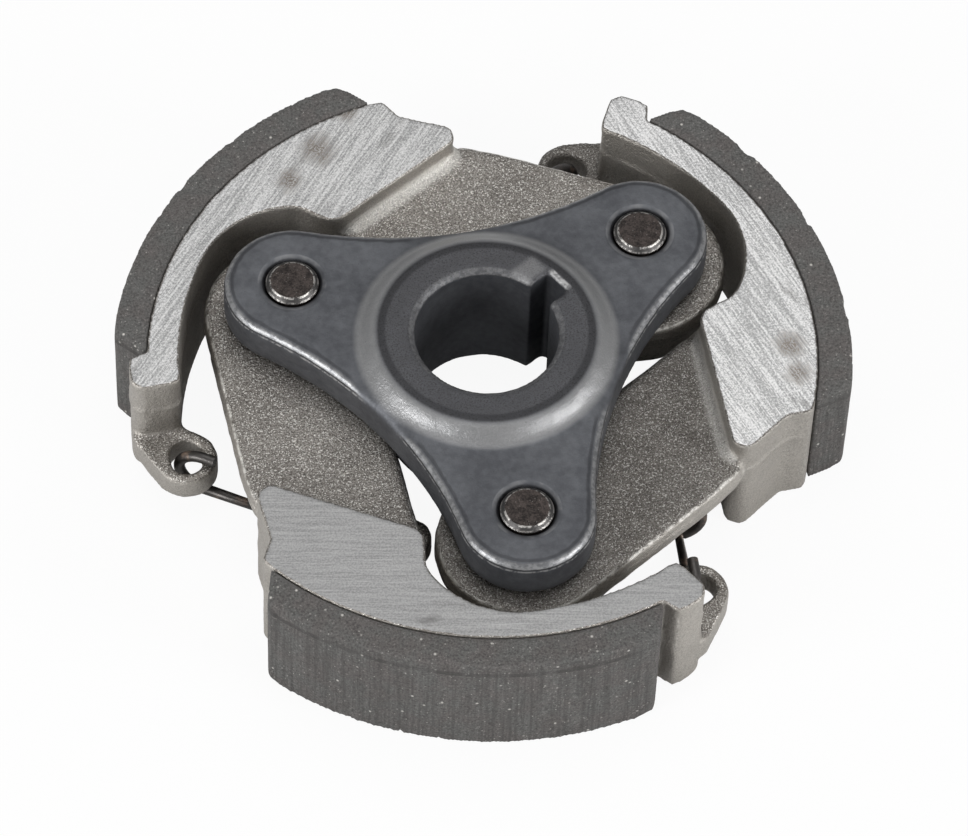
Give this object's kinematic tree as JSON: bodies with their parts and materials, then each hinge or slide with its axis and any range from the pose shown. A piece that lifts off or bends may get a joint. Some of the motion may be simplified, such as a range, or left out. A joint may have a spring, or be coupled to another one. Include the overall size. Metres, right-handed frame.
{
  "type": "centrifugal clutch",
  "caption": "Small-engine centrifugal clutch: a keyed hub plate with pivoted, lined cast shoes that springs pull in and that swing out against a drum.",
  "frame": {"origin": "on the bore's axis, in the plane of the hub's back face", "axes": "+Z along the bore from the hub's back face to the raised boss; the keyway and the first pivot pin lie at 30 degrees from +X towards +Y"},
  "size_m": [0.0765, 0.0763, 0.0187],
  "materials": {
    "dark_steel": "dark oxide, satin",
    "pin_steel": "dark oxide, worn bright at the edge",
    "washer_steel": "plain",
    "cast_aluminium": "blasted casting with ground faces",
    "friction_lining": "moulded friction composite, ground",
    "spring_wire": "drawn and oil-blackened"
  },
  "bodies": {
    "hub": {"hub_plate": "dark_steel", "pivot_pin_1": "pin_steel", "pivot_pin_2": "pin_steel", "pivot_pin_3": "pin_steel", "pin_washer_1": "washer_steel", "pin_washer_2": "washer_steel", "pin_washer_3": "washer_steel"},
    "shoe_1": {"shoe_1": "cast_aluminium", "lining_1": "friction_lining", "spring_1": "spring_wire"},
    "shoe_2": {"shoe_2": "cast_aluminium", "lining_2": "friction_lining", "spring_2": "spring_wire"},
    "shoe_3": {"shoe_3": "cast_aluminium", "lining_3": "friction_lining", "spring_3": "spring_wire"}
  },
  "joints": [
    {"name": "shoe_1_swing", "type": "hinge", "parent": "hub", "child": "shoe_1", "pos_m": [0.01866, 0.01077, 0.005], "axis": [0, 0, -1], "range_deg": [0, 4.5], "stiffness_Nm_per_rad": 4, "springref_deg": -1.72, "deforming": ["spring_1", "spring_3"]},
    {"name": "shoe_2_swing", "type": "hinge", "parent": "hub", "child": "shoe_2", "pos_m": [-0.01866, 0.01077, 0.005], "axis": [0, 0, -1], "range_deg": [0, 4.5], "stiffness_Nm_per_rad": 4, "springref_deg": -1.72, "deforming": ["spring_2", "spring_1"]},
    {"name": "shoe_3_swing", "type": "hinge", "parent": "hub", "child": "shoe_3", "pos_m": [0, -0.02155, 0.005], "axis": [0, 0, -1], "range_deg": [0, 4.5], "stiffness_Nm_per_rad": 4, "springref_deg": -1.72, "deforming": ["spring_3", "spring_2"]}
  ]
}
